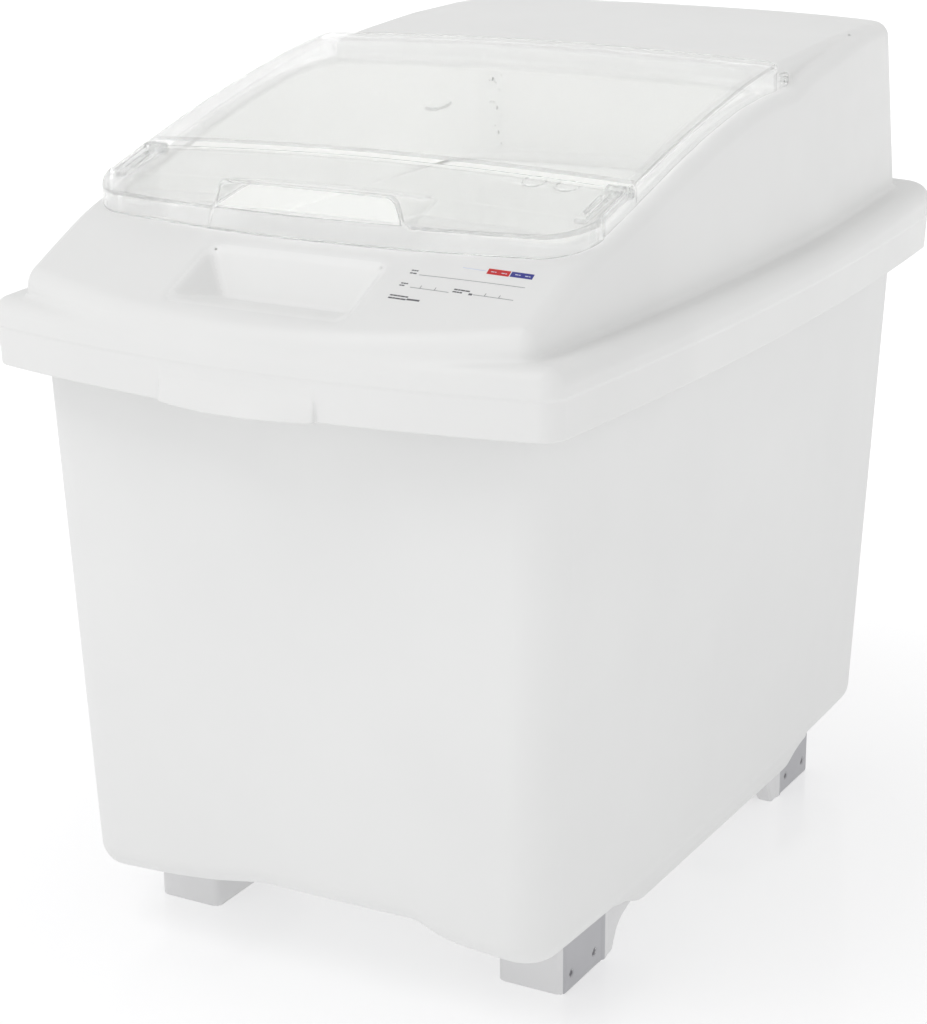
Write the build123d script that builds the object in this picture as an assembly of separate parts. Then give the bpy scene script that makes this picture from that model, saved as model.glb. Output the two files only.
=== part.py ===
from build123d import *
import math
import os

os.makedirs("parts", exist_ok=True)

# Rice bin with flip lid. Millimetres, +Z up, front of the bin towards -Y.
# Origin: centre of the bounding box on the floor.

# ---- driving dimensions -------------------------------------------------
WALL = 2.8               # moulded wall of tub and hood
CLEAR = 2.5              # wall of the clear cover

# hood skirt (outer collar over the tub's rim)
SK_Z0, SK_ZS, SK_Z1 = 372.4, 396.0, 413.0
SK_HX = 186.4            # half width at the corners
SK_YF, SK_YR = -284.9, 301.0
SK_BS, SK_BF, SK_BR = 13.6, 23.5, 18.6
SK_RF, SK_RR = 10.0, 22.0
SHOULDER_R = 11.0
LIP_X, LIP_Y0, LIP_Y1, LIP_TOP = 51.0, -310.0, -319.6, 391.0

# upper hood plan at shoulder height, drafted inwards
UP_HX, UP_YF, UP_YR = 167.0, -276.5, 279.0
UP_BS, UP_BF, UP_BR = 11.0, 30.8, 16.0
UP_RF, UP_RR = 7.0, 20.0
UP_DRAFT = math.tan(math.radians(3.2))

# edge profile of the hood's top (y, z) and of the rear plateau
LEDGE = [(-335, 400.8), (-276, 427.1), (-240, 443.1), (-220, 451.6), (-205, 456.4),
         (-190, 460.4), (-169, 465.8), (-150, 470.9), (-120, 479.3), (-91, 487.3),
         (-50, 497.0), (-6, 505.2), (30, 508.4), (60, 509.0), (75, 509.6),
         (90, 514.5), (110, 517.8), (132, 520.3), (175, 525.6), (220, 529.0), (260, 528.5), (335, 520)]
PLATEAU = [(0, 517.0), (61, 522.0), (85, 524.2), (117, 526.7), (139, 528.4), (163, 530.1),
           (197, 530.9), (238, 530.6), (256, 529.2), (272, 526.5), (335, 512)]
PLATEAU_X, PLATEAU_Y = 159.5, 61.0
# the plateau is crowned at its front and flat at its rear crest
PLATEAU_FADE = (90.0, 240.0, 1.0, -0.4)
HOOD_CROWN = [(-190, -5.0), (-160, 1.6), (-80, 4.4), (0, 5.0), (80, 4.4), (160, 1.6), (190, -5.0)]
LID_CROWN = [(-190, -1.5), (-160, 0.3), (-80, 3.4), (0, 4.5), (80, 3.4), (160, 0.3), (190, -1.5)]

# mouth of the hood under the clear cover
MOUTH_X, MOUTH_YF, MOUTH_YR, MOUTH_R = 153.0, -203.0, 50.0, 18.0
RIM_T = 3.0

# hand recess in the slope
REC_X, REC_YT, REC_YB, REC_YC, REC_ZC = 59.0, -240.0, -288.0, -253.0, 420.5

# clear cover
LID_X = 165.6
LID_TOP = [(-330, 435.2), (-200, 472.2), (-180, 477.9), (-160, 483.6), (-140, 489.0), (-120, 494.5), (-100, 499.5),
           (-80, 504.2), (-60, 508.6), (-40, 512.8), (-20, 516.7), (0, 520.4), (20, 523.6),
           (40, 526.2), (60, 528.4), (90, 531.0)]
PANEL = [(-330, 440.0), (-240, 461.2), (-147, 483.0), (-90, 496.4)]
LID_YF, LID_BF, LID_RF = -214.5, 19.0, 27.0
LID_YR, LID_RR = 58.0, 8.0
ARM_Y = -188.5           # the window's arms run forward to here
WIN_YF = -146.5          # front edge of the rear panel
FLAP_YR = -147.6         # rear edge of the flap
SKIRT_GAP = 1.0          # clear skirt above the hood's edge profile
FLAP_SKIRT = 12.5
REAR_LIP = 4.0

# hinges (axis along X)
FLAP_AX = (-153.5, 481.8)
REAR_AX = (66.0, 516.5)
PIN_R, REAR_PIN_R, PIN_CLEAR = 2.5, 2.0, 0.06

# grip on the flap
GRIP_X, GRIP_XF, GRIP_Z = 58.5, 67.6, 484.4
GRIP_YB, GRIP_FALL = -214.0, 0.42     # from here the grip falls back to the panel

# tub
TUB_Z0, TUB_Z1 = 40.0, 409.7
TUB_RIM = 6.0
CHAN_X, CHAN_XF, CHAN_Z = 79.0, 104.0, 56.5
RAIL_X0, RAIL_X1, RAIL_Y, RAIL_Z0, RAIL_Z1 = 147.0, 164.0, 140.0, 31.0, 52.0

# feet
FT_X0, FT_X1, FT_Y0, FT_Y1 = 102.0, 146.9, 136.5, 195.5
FT_TOP = 39.9
FT_T = 3.0


def tub_hx(z): return 162.0 + (z - 75.0) * 10.2 / 270.0
def tub_hy(z): return 251.9 + (z - 75.0) * 9.3 / 270.0


def interp(tab, y):
    for (a, za), (b, zb) in zip(tab, tab[1:]):
        if a <= y <= b:
            return za + (zb - za) * (y - a) / (b - a)
    return tab[0][1] if y < tab[0][0] else tab[-1][1]


def outline(hx, yf, yr, bs, bf, br, rf, rr, z):
    """Barrel outline: four arcs through virtual corners, corners rounded."""
    ym = (yf + yr) / 2
    a = ThreePointArc((-hx, yf), (0, yf - bf), (hx, yf))
    b = ThreePointArc((hx, yf), (hx + bs, ym), (hx, yr)) if bs else Line((hx, yf), (hx, yr))
    c = ThreePointArc((hx, yr), (0, yr + br), (-hx, yr)) if br else Line((hx, yr), (-hx, yr))
    d = ThreePointArc((-hx, yr), (-hx - bs, ym), (-hx, yf)) if bs else Line((-hx, yr), (-hx, yf))
    f = make_face(Curve() + [a, b, c, d]).face()
    vf = [v for v in f.vertices() if v.Y < ym]
    vr = [v for v in f.vertices() if v.Y > ym]
    if rf > 0:
        f = f.fillet_2d(rf, vf)
        vr = [v for v in f.vertices() if v.Y > ym and abs(v.Y - yr) < 1e-3]
    if rr > 0:
        f = f.fillet_2d(rr, vr)
    if f.normal_at().Z < 0:
        f = -f
    return Pos(0, 0, z) * f


def prism(f, h):
    return extrude(f, amount=h, dir=(0, 0, 1))


def tapered(fa, fb):
    return loft([fa, fb], ruled=True)


def fade(y, f):
    """Share of the crown at y: f = (y0, y1, share before y0, share after y1)."""
    if f is None:
        return 1.0
    t = min(max((y - f[0]) / (f[1] - f[0]), 0.0), 1.0)
    return f[2] + (f[3] - f[2]) * t


def under(profile, crown, dz=0.0, zlow=330.0, ymin=-400, ymax=400, f=None):
    """Solid below a crowned surface: the edge profile swept across X with the crown added."""
    secs = []
    prof = [(y, z) for y, z in profile if ymin <= y <= ymax]
    for x, c in crown:
        pts = [Vector(x, y, z + c * fade(y, f) + dz) for y, z in prof]
        top = Edge.make_spline(pts)
        p0, p1 = pts[0], pts[-1]
        q0, q1 = Vector(x, p0.Y, zlow), Vector(x, p1.Y, zlow)
        w = Wire([top, Edge.make_line(p1, q1), Edge.make_line(q1, q0), Edge.make_line(q0, p0)])
        secs.append(w)
    return Solid.make_loft(secs, False)


def box(x0, x1, y0, y1, z0, z1):
    return Pos((x0 + x1) / 2, (y0 + y1) / 2, (z0 + z1) / 2) * Box(x1 - x0, y1 - y0, z1 - z0)


def rod_x(x0, x1, y, z, r):
    return Pos((x0 + x1) / 2, y, z) * Rot(0, 90, 0) * Cylinder(r, x1 - x0)


def one(s):
    """The largest solid of a shape."""
    sol = s.solids()
    return max(sol, key=lambda q: q.volume)


def safe_fillet(s, r, edges):
    for k in (1.0, 0.7, 0.45):
        try:
            t = fillet(edges, r * k)
            if t.is_valid and t.volume > 0:
                print("fillet", r * k)
                return t
        except Exception:
            pass
    print("fillet skipped", r)
    return s


def write(name, shape):
    export_step(shape, f"parts/{name}.step")
    bb = shape.bounding_box()
    print(name, len(shape.solids()), round(shape.volume / 1000, 2), "cm3",
          [round(v, 1) for v in (bb.min.X, bb.min.Y, bb.min.Z, bb.max.X, bb.max.Y, bb.max.Z)])


# ======================= tub ==============================================
def tub_face(z, inset=0.0, bow_lo=5.0, bow_hi=11.0, r=24.0):
    t = (z - TUB_Z0) / (TUB_Z1 - TUB_Z0)
    b = bow_lo + (bow_hi - bow_lo) * t
    hx, hy = tub_hx(z) - inset, tub_hy(z) - inset
    return outline(hx, -hy, hy, b, b, b, r - inset * 0.6, r - inset * 0.6, z)


def channel(x, xf, z, z0=20.0, ext=340.0):
    w = Wire.make_polygon([Vector(-xf - (TUB_Z0 - z0), -ext, z0), Vector(-xf, -ext, TUB_Z0), Vector(-x, -ext, z),
                           Vector(x, -ext, z), Vector(xf, -ext, TUB_Z0), Vector(xf + (TUB_Z0 - z0), -ext, z0)])
    return extrude(Face(w), amount=2 * ext, dir=(0, 1, 0))


tub = tapered(tub_face(TUB_Z0), tub_face(TUB_Z1))
bottom_edges = tub.faces().sort_by(Axis.Z)[0].edges()
tub = safe_fillet(tub, 14.0, bottom_edges)
tub_in = tapered(tub_face(TUB_Z0 + WALL, WALL), tub_face(TUB_Z1 + 0.0, WALL))
tub_in = safe_fillet(tub_in, 11.0, tub_in.faces().sort_by(Axis.Z)[0].edges())
tub_in = tub_in + prism(tub_face(TUB_Z1, WALL), 5.0)
# underside channel between the two long lobes, floor raised with it
tub = tub - channel(CHAN_X, CHAN_XF, CHAN_Z)
tub_in = tub_in - channel(CHAN_X + WALL * 0.7, CHAN_XF + WALL * 0.9, CHAN_Z + WALL)
tub = tub - tub_in
# rim flange
zr = TUB_Z1 - 3.0
rim = prism(outline(tub_hx(zr) + TUB_RIM, -tub_hy(zr) - TUB_RIM, tub_hy(zr) + TUB_RIM, 11, 11, 11, 28, 28, zr), 3.0) \
    - prism(outline(tub_hx(zr) - WALL * 0.5, -tub_hy(zr) + WALL * 0.5, tub_hy(zr) - WALL * 0.5, 10.9, 10.9, 10.9, 22.6, 22.6, zr), 3.0)
tub = tub + rim
# runners under the long sides
for s in (-1, 1):
    x0, x1 = sorted((s * RAIL_X0, s * RAIL_X1))
    rail = box(x0, x1, -RAIL_Y, RAIL_Y, RAIL_Z0, RAIL_Z1)
    low = [e for e in rail.edges().filter_by(Axis.Y) if abs(e.center().Z - RAIL_Z0) < 1e-3]
    rail = fillet(low, 7.5)
    tub = tub + (rail - tub_in)
tub = one(tub)
write("tub", tub)

# ======================= hood =============================================
def skirt_face(z, inset=0.0):
    return outline(SK_HX - inset, SK_YF + inset, SK_YR - inset, SK_BS, SK_BF, SK_BR,
                   max(SK_RF - inset * 0.7, 3), max(SK_RR - inset * 0.7, 3), z)


def upper_face(z, inset=0.0):
    d = (z - SK_Z1) * UP_DRAFT + inset
    dr = (z - SK_Z1) * math.tan(math.radians(3.6)) + inset
    return outline(UP_HX - d, UP_YF + inset, UP_YR - dr, UP_BS, UP_BF, UP_BR,
                   max(UP_RF - inset * 0.7, 3), max(UP_RR - inset * 0.7, 3), z)


lower_band = tapered(skirt_face(SK_Z0, 1.6), skirt_face(SK_ZS, 0.7))
upper_band = prism(skirt_face(SK_ZS), SK_Z1 - SK_ZS)
top_edges = upper_band.faces().sort_by(Axis.Z)[-1].edges()
upper_band = safe_fillet(upper_band, SHOULDER_R, top_edges)
# the shoulder ends where the slope meets the front face: fill the front of the band square
front_fill = prism(skirt_face(SK_ZS, 0.0), SK_Z1 + 6 - SK_ZS) & under(LEDGE, HOOD_CROWN, 0.0)
front_fill = front_fill & box(-150, 150, -330, -262, 380, 440)
front_fill = front_fill & prism(outline(UP_HX, UP_YF, UP_YR, UP_BS, UP_BF, UP_BR, 3, 3, 380), 60)
upper = tapered(upper_face(SK_Z1 - 12), upper_face(560)) & under(LEDGE, HOOD_CROWN)
plateau = tapered(upper_face(SK_Z1 - 12), upper_face(560)) & under(PLATEAU, HOOD_CROWN, f=PLATEAU_FADE) \
    & box(-PLATEAU_X, PLATEAU_X, PLATEAU_Y, 320, 420, 560)
# pull lip
def lip_face(z, x, y0, y1):
    a = ThreePointArc((-x, y0), (0, y1), (x, y0))
    return Pos(0, 0, z) * make_face(Curve() + [a, Line((x, y0), (x, -296)), Line((x, -296), (-x, -296)), Line((-x, -296), (-x, y0))]).face()


lip = tapered(lip_face(SK_Z0, LIP_X, LIP_Y0, LIP_Y1), lip_face(LIP_TOP, LIP_X, -306.3, -308.3))

hood_out = lower_band + upper_band + front_fill + upper + plateau + lip
hood_out = one(hood_out)

inner_skirt = tapered(skirt_face(SK_Z0 - 1, 1.6 + WALL), skirt_face(SK_ZS, 0.7 + WALL)) \
    + prism(skirt_face(SK_ZS, 0.7 + WALL), SK_Z1 - WALL - SK_ZS)
inner_up = tapered(upper_face(SK_Z1 - 13, WALL), upper_face(560, WALL)) & under(LEDGE, HOOD_CROWN, -WALL)
inner_pl = tapered(upper_face(SK_Z1 - 13, WALL), upper_face(560, WALL)) & under(PLATEAU, HOOD_CROWN, -WALL, f=PLATEAU_FADE) \
    & box(-PLATEAU_X + WALL, PLATEAU_X - WALL, PLATEAU_Y + WALL, 320, 420, 560)
# solid ring that thickens the shoulder's front so that the step is closed
inner = inner_skirt + inner_up + inner_pl


# hand recess: wedge with drafted sides
def slope_z(y): return interp(LEDGE, y) + 4.4


def recess(grow=0.0):
    g = grow
    ang = math.degrees(math.atan(0.445))
    zb = slope_z(REC_YB)
    tri = Wire.make_polygon([Vector(-90, REC_YT + g + 6, slope_z(REC_YT) + 12), Vector(-90, REC_YT + g, slope_z(REC_YT)),
                             Vector(-90, REC_YC + g * 0.7, REC_ZC - g), Vector(-90, REC_YB - g, zb - g * 1.0),
                             Vector(-90, REC_YB - g, zb + 12)])
    wedge = extrude(Face(tri), amount=180, dir=(1, 0, 0))
    n = Vector(0, -math.sin(math.radians(ang)), math.cos(math.radians(ang)))
    c = Vector(0, -264, slope_z(-264))
    pa = Plane(origin=c + n * 10, x_dir=(1, 0, 0), z_dir=n)
    pb = Plane(origin=c - n * 26, x_dir=(1, 0, 0), z_dir=n)
    top = pa * RectangleRounded(2 * (REC_X + 8 + g), 130, 6)
    bot = pb * RectangleRounded(2 * (REC_X - 23 + g), 130, 6)
    return wedge & loft([top.face(), bot.face()], ruled=True)


rec = recess(0.0)
rec_shell = recess(WALL)
inner = inner - rec_shell
# rim round the mouth
def mouth_face(z, grow=0.0):
    return Pos(0, (MOUTH_YF + MOUTH_YR) / 2, z) * RectangleRounded(2 * (MOUTH_X + grow), MOUTH_YR - MOUTH_YF + 2 * grow,
                                                                   MOUTH_R + grow).face()


rim_ring = prism(mouth_face(430, RIM_T), 130) & under([(y, z + 1.5) for y, z in LEDGE], HOOD_CROWN)
hood = (hood_out - inner) - rec
hood = hood + (rim_ring - under(LEDGE, HOOD_CROWN, -WALL))
hood = hood - prism(mouth_face(400, 0.0), 200)
# bores for the rear hinge pins in the plateau's side walls, with an inner boss each
for s in (-1, 1):
    xa, xb = sorted((s * 148.0, s * (PLATEAU_X - 0.5)))
    hood = hood + (rod_x(xa, xb, REAR_AX[0] + 1.0, REAR_AX[1] - 1.5, 6.0) & under(PLATEAU, HOOD_CROWN, -0.5)
                   & box(-160, 160, PLATEAU_Y + 0.5, 90, 480, 560))
    xa, xb = sorted((s * 147.0, s * 166.0))
    hood = hood - rod_x(xa, xb, REAR_AX[0], REAR_AX[1], REAR_PIN_R)
hood = one(hood)
write("hood", hood)

for s, side in ((-1, "left"), (1, "right")):
    xa, xb = sorted((s * 149.0, s * (LID_X + 0.6)))
    write(f"{side}_rear_hinge_pin", rod_x(xa, xb, REAR_AX[0], REAR_AX[1], REAR_PIN_R))

# ======================= clear cover ======================================
def cover_plan(inset, yr, zlow=430.0, h=130.0, rr=LID_RR):
    return prism(outline(LID_X - inset, LID_YF + inset, yr - inset, 0, LID_BF, 0,
                         LID_RF - inset, max(rr - inset, 1.5), zlow), h)


LID_U = under(LID_TOP, LID_CROWN, 0, 400)
LID_U_IN = under(LID_TOP, LID_CROWN, -CLEAR, 400)
SKIRT_LOW = under(LEDGE, HOOD_CROWN, SKIRT_GAP, 330, -300, 140)
plan = cover_plan(0, LID_YR)
plan_in = cover_plan(CLEAR, LID_YR, rr=LID_RR)

# rear window: panel, side skirts and forward arms, rear ears
panel = (plan & LID_U) - LID_U_IN
panel = panel & box(-200, 200, WIN_YF, 100, 400, 560)
skirts = ((plan & LID_U) - plan_in) - SKIRT_LOW
skirts = skirts & box(-200, 200, ARM_Y, 100, 400, 560)
# across the rear only a short lip is turned down, so that it clears the plateau as the cover opens
skirts = skirts - (box(-(LID_X - CLEAR), LID_X - CLEAR, 40, LID_YR + 1, 400, 560) & under(LID_TOP, LID_CROWN, -REAR_LIP, 400))
window = panel + skirts
for s in (-1, 1):
    xa, xb = sorted((s * (LID_X - CLEAR), s * LID_X))
    ear = rod_x(xa, xb, REAR_AX[0], REAR_AX[1], 4.6) + box(xa, xb, LID_YR - 9, REAR_AX[0], REAR_AX[1] - 4.6, REAR_AX[1] + 4.6)
    window = window + ear
    xa, xb = sorted((s * (LID_X - CLEAR - 1), s * (LID_X + 1)))
    window = window - rod_x(xa, xb, REAR_AX[0], REAR_AX[1], REAR_PIN_R + PIN_CLEAR)
    window = window - rod_x(xa, xb, FLAP_AX[0], FLAP_AX[1], PIN_R + PIN_CLEAR)
window = one(window)
write("rear_window", window)

# front flap
P_TOP = under(PANEL, [(-190, -2.0), (-160, 0.0), (-80, 3.7), (0, 5.0), (80, 3.7), (160, 0.0), (190, -2.0)], 0, 400)
P_LOW = under(PANEL, [(-190, -2.0), (-160, 0.0), (-80, 3.7), (0, 5.0), (80, 3.7), (160, 0.0), (190, -2.0)], -CLEAR, 400)
F_LOW = under(LID_TOP, LID_CROWN, -FLAP_SKIRT, 400)
fbox = box(-200, 200, -260, FLAP_YR, 400, 560)
f_panel = (cover_plan(0.5, LID_YR) & P_TOP) - P_LOW
f_panel = f_panel & fbox
fin_x = LID_X - CLEAR - 0.5
f_panel = f_panel & (box(-fin_x, fin_x, -260, 0, 400, 560) + box(-200, 200, -260, ARM_Y - 0.6, 400, 560))
f_skirt = ((plan & LID_U) - plan_in) - F_LOW
f_skirt = f_skirt & box(-200, 200, -260, ARM_Y - 0.6, 400, 560)
f_skirt = f_skirt & (P_TOP + under(LID_TOP, LID_CROWN, 0, 400))
flap = f_panel + f_skirt
for s in (-1, 1):
    # side fin and rib
    xa, xb = sorted((s * (fin_x - 2.2), s * fin_x))
    fin = (box(xa, xb, -200, FLAP_AX[0] + 2.5, 440, 560) & under(LID_TOP, LID_CROWN, -0.6, 400)) - P_LOW
    xa, xb = sorted((s * 150.0, s * 157.5))
    rib = (box(xa, xb, -196.5, FLAP_AX[0] + 2.5, 440, 560) & under(LID_TOP, LID_CROWN, -0.4, 400)) - P_LOW
    rib = rib - box(*sorted((s * 152.2, s * 155.4)), -183, -166, 476, 520)
    xa, xb = sorted((s * 150.0, s * fin_x))
    boss = rod_x(xa, xb, FLAP_AX[0], FLAP_AX[1], 4.0)
    flap = flap + fin + rib + boss
    xa, xb = sorted((s * 149.0, s * (fin_x + 1)))
    flap = flap - rod_x(xa, xb, FLAP_AX[0], FLAP_AX[1], PIN_R)
# grip: a hump open from below, its front wall one with the front skirt
def grip_solid(g, zlow):
    def sec(z):
        hw = GRIP_X + (GRIP_Z - z) * (GRIP_XF - GRIP_X) / (GRIP_Z - 455.0) - g
        return Wire.make_polygon([Vector(-hw, -250, z), Vector(hw, -250, z), Vector(hw, -150, z), Vector(-hw, -150, z)])
    taper = Solid.make_loft([sec(zlow), sec(GRIP_Z + 2)], True)
    zt = GRIP_Z - g
    fall = 45.0
    side = Wire.make_polygon([Vector(-90, -250, zlow - 1), Vector(-90, -250, zt), Vector(-90, GRIP_YB - g * 0.2, zt),
                              Vector(-90, GRIP_YB - g * 0.2 + fall, zt - fall * GRIP_FALL),
                              Vector(-90, GRIP_YB - g * 0.2 + fall, zlow - 1)])
    return taper & extrude(Face(side), amount=180, dir=(1, 0, 0))


grip = grip_solid(0, 458.0) & plan
grip = grip - under(PANEL, [(-190, -2.0), (-160, 0.0), (-80, 3.7), (0, 5.0), (80, 3.7), (160, 0.0), (190, -2.0)], -1.0, 400)
pocket = grip_solid(CLEAR, 440.0) & cover_plan(CLEAR, LID_YR)
flap = (flap + grip) - pocket
# the front of the grip is open between the skirt and the edge of the hump, so fingers reach in under it
flap = flap - ((grip_solid(CLEAR, 440.0) & box(-100, 100, -260, -215, 400, 560)) - LID_U)
flap = one(flap)
write("front_flap", flap)

for s, side in ((-1, "left"), (1, "right")):
    xa, xb = sorted((s * 150.0, s * (LID_X - 0.1)))
    write(f"{side}_flap_hinge_pin", rod_x(xa, xb, FLAP_AX[0], FLAP_AX[1], PIN_R))

# ======================= feet =============================================
def foot(sx, sy):
    """Hollow corner foot: upright box with a flare on its inner face and an arch in it."""
    prof = Wire.make_polygon([Vector(FT_X0, -FT_Y1, FT_TOP), Vector(FT_X0, -FT_Y1, 0), Vector(FT_X0, -FT_Y0, 0),
                              Vector(FT_X0, -127.5, 3.2), Vector(FT_X0, -121.8, 9.5), Vector(FT_X0, -116.0, 20.0),
                              Vector(FT_X0, -109.0, 31.0), Vector(FT_X0, -102.0, FT_TOP)])
    body = extrude(Face(prof), amount=FT_X1 - FT_X0, dir=(1, 0, 0))
    vert = [e for e in body.edges().filter_by(Axis.Z) if abs(e.center().Y + FT_Y1) < 1e-3]
    body = fillet(vert, 6.0)
    hollow = box(FT_X0 + FT_T, FT_X1 - FT_T, -FT_Y1 + FT_T, -FT_Y0 + 2, -1, FT_TOP - 9.5)
    body = body - hollow
    # arch in the inner face
    arch = Pos((FT_X0 + FT_X1) / 2 + 6, -120, 0) * Rot(90, 0, 0) * Cylinder(6.5, 40)
    body = body - arch
    for y in (-184.0, -153.0):
        body = body - rod_x(FT_X1 - 7, FT_X1 + 1, y, 10.5, 1.8)
    return body


def foot_pins(sx, sy):
    out = []
    for y in (184.0, 153.0):
        xa, xb = sorted((sx * (FT_X1 - 7), sx * (FT_X1 - 0.6)))
        out.append(rod_x(xa, xb, sy * y, 10.5, 1.8))
    return Compound(children=[p.solids()[0] for p in out])


base = one(foot(1, -1))
for name, mx, my in (("front_right", False, False), ("front_left", True, False),
                     ("rear_right", False, True), ("rear_left", True, True)):
    f = base
    if mx:
        f = mirror(f, Plane.YZ)
    if my:
        f = mirror(f, Plane.XZ)
    write(f"{name}_foot", f)
    write(f"{name}_foot_pins", foot_pins(-1 if mx else 1, 1 if my else -1))

# ======================= print on the slope ===============================
FILM = 0.2
film_top = under(LEDGE, HOOD_CROWN, FILM, 330, -335, -150)
film_low = under(LEDGE, HOOD_CROWN, 0.0, 330, -335, -150)
film_low = film_low


def film(shapes):
    out = []
    for x0, x1, y0, y1, skew in shapes:
        w = Wire.make_polygon([Vector(x0, y0, 400), Vector(x1, y0, 400), Vector(x1 + skew, y1, 400), Vector(x0 + skew, y1, 400)])
        piece = (extrude(Face(w), amount=100, dir=(0, 0, 1)) & film_top) - film_low
        out.append(one(piece))
    return Compound(children=out)


black = [(81.4, 145.2, -244.6, -244.0, 0), (75.2, 79.2, -242.8, -241.9, 0), (75.3, 79.3, -244.9, -244.1, 0),
         (74.8, 79.0, -253.7, -252.9, 0), (74.7, 77.7, -255.6, -254.8, 0), (81.8, 105.4, -255.9, -255.3, 0),
         (107.3, 116.8, -252.8, -251.9, 0), (107.3, 113.0, -254.7, -253.9, 0), (117.2, 119.3, -255.1, -253.8, 0),
         (119.9, 143.8, -254.5, -253.9, 0), (73.8, 85.0, -264.1, -263.2, 0), (73.9, 92.9, -266.3, -265.3, 0)]
for x, y in ((87.5, -255.2), (96.4, -255.2), (126.4, -253.8), (134.9, -253.8)):
    black.append((x, x + 0.6, y, y + 1.8, 0))
write("slope_label_lines", film(black))
write("slope_label_red", film([(118.3, 131.6, -236.4, -232.0, -0.5)]))
write("slope_label_blue", film([(132.2, 145.5, -235.8, -231.7, -0.4), (102.7, 116.9, -234.7, -234.1, 0)]))
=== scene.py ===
import bpy, math
import numpy as np
from mathutils import Matrix, Vector


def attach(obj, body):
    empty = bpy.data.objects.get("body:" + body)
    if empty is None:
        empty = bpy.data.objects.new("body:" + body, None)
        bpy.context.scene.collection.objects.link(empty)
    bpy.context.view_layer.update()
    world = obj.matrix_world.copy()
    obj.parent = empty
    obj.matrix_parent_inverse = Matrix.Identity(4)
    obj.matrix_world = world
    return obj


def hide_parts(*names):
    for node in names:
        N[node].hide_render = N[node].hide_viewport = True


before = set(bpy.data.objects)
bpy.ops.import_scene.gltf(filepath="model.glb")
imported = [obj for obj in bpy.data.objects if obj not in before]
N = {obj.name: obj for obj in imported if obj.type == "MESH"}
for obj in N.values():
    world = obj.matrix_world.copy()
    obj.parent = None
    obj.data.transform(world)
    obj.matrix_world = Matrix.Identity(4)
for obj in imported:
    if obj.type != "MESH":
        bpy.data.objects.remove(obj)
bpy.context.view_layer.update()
scene = bpy.context.scene

# =====================================================================
# camera
# =====================================================================
YAW, PITCH, ROLL = 0.50942658, 0.30946091, -0.00549273
fwd = Vector((-math.sin(YAW) * math.cos(PITCH), math.cos(YAW) * math.cos(PITCH), -math.sin(PITCH)))
r0 = Vector((math.cos(YAW), math.sin(YAW), 0.0))
u0 = r0.cross(fwd)
r = r0 * math.cos(ROLL) + u0 * math.sin(ROLL)
u = u0 * math.cos(ROLL) - r0 * math.sin(ROLL)
cd = bpy.data.cameras.new("camera")
cam = bpy.data.objects.new("camera", cd)
scene.collection.objects.link(cam)
cam.matrix_world = Matrix(((r.x, u.x, -fwd.x, 0.776051), (r.y, u.y, -fwd.y, -1.440762),
                           (r.z, u.z, -fwd.z, 0.751671), (0, 0, 0, 1)))
cd.sensor_fit = "VERTICAL"
cd.sensor_height = 36.0
cd.sensor_width = 36.0 * 927 / 1024
cd.lens = 2592.27 / 1024 * 36.0
cd.clip_start = 0.05
cd.clip_end = 50
cd.dof.use_dof = False
scene.camera = cam

# =====================================================================
# implicit surfaces (millimetres, negative inside) and their meshing
# =====================================================================
def rmax(a, b, r):
    """Intersection with a rounded convex edge of radius r."""
    return np.minimum(np.maximum(a, b), -r) + np.hypot(np.maximum(a + r, 0), np.maximum(b + r, 0))


def rmin(a, b, r):
    """Union with a rounded concave corner of radius r."""
    return -rmax(-a, -b, r)


def smooth(t):
    t = np.clip(t, 0.0, 1.0)
    return t * t * (3 - 2 * t)


def steps(*seg):
    """Axis samples: (start, stop, step) pieces joined."""
    out = []
    for a, b, s in seg:
        n = max(1, int(round((b - a) / s)))
        out.append(np.linspace(a, b, n + 1)[:-1])
    out.append(np.array([seg[-1][1]]))
    return np.concatenate(out)


def mirror_steps(*seg):
    p = steps(*seg)
    return np.concatenate([-p[::-1], p[1:] if p[0] == 0 else p])


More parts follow.
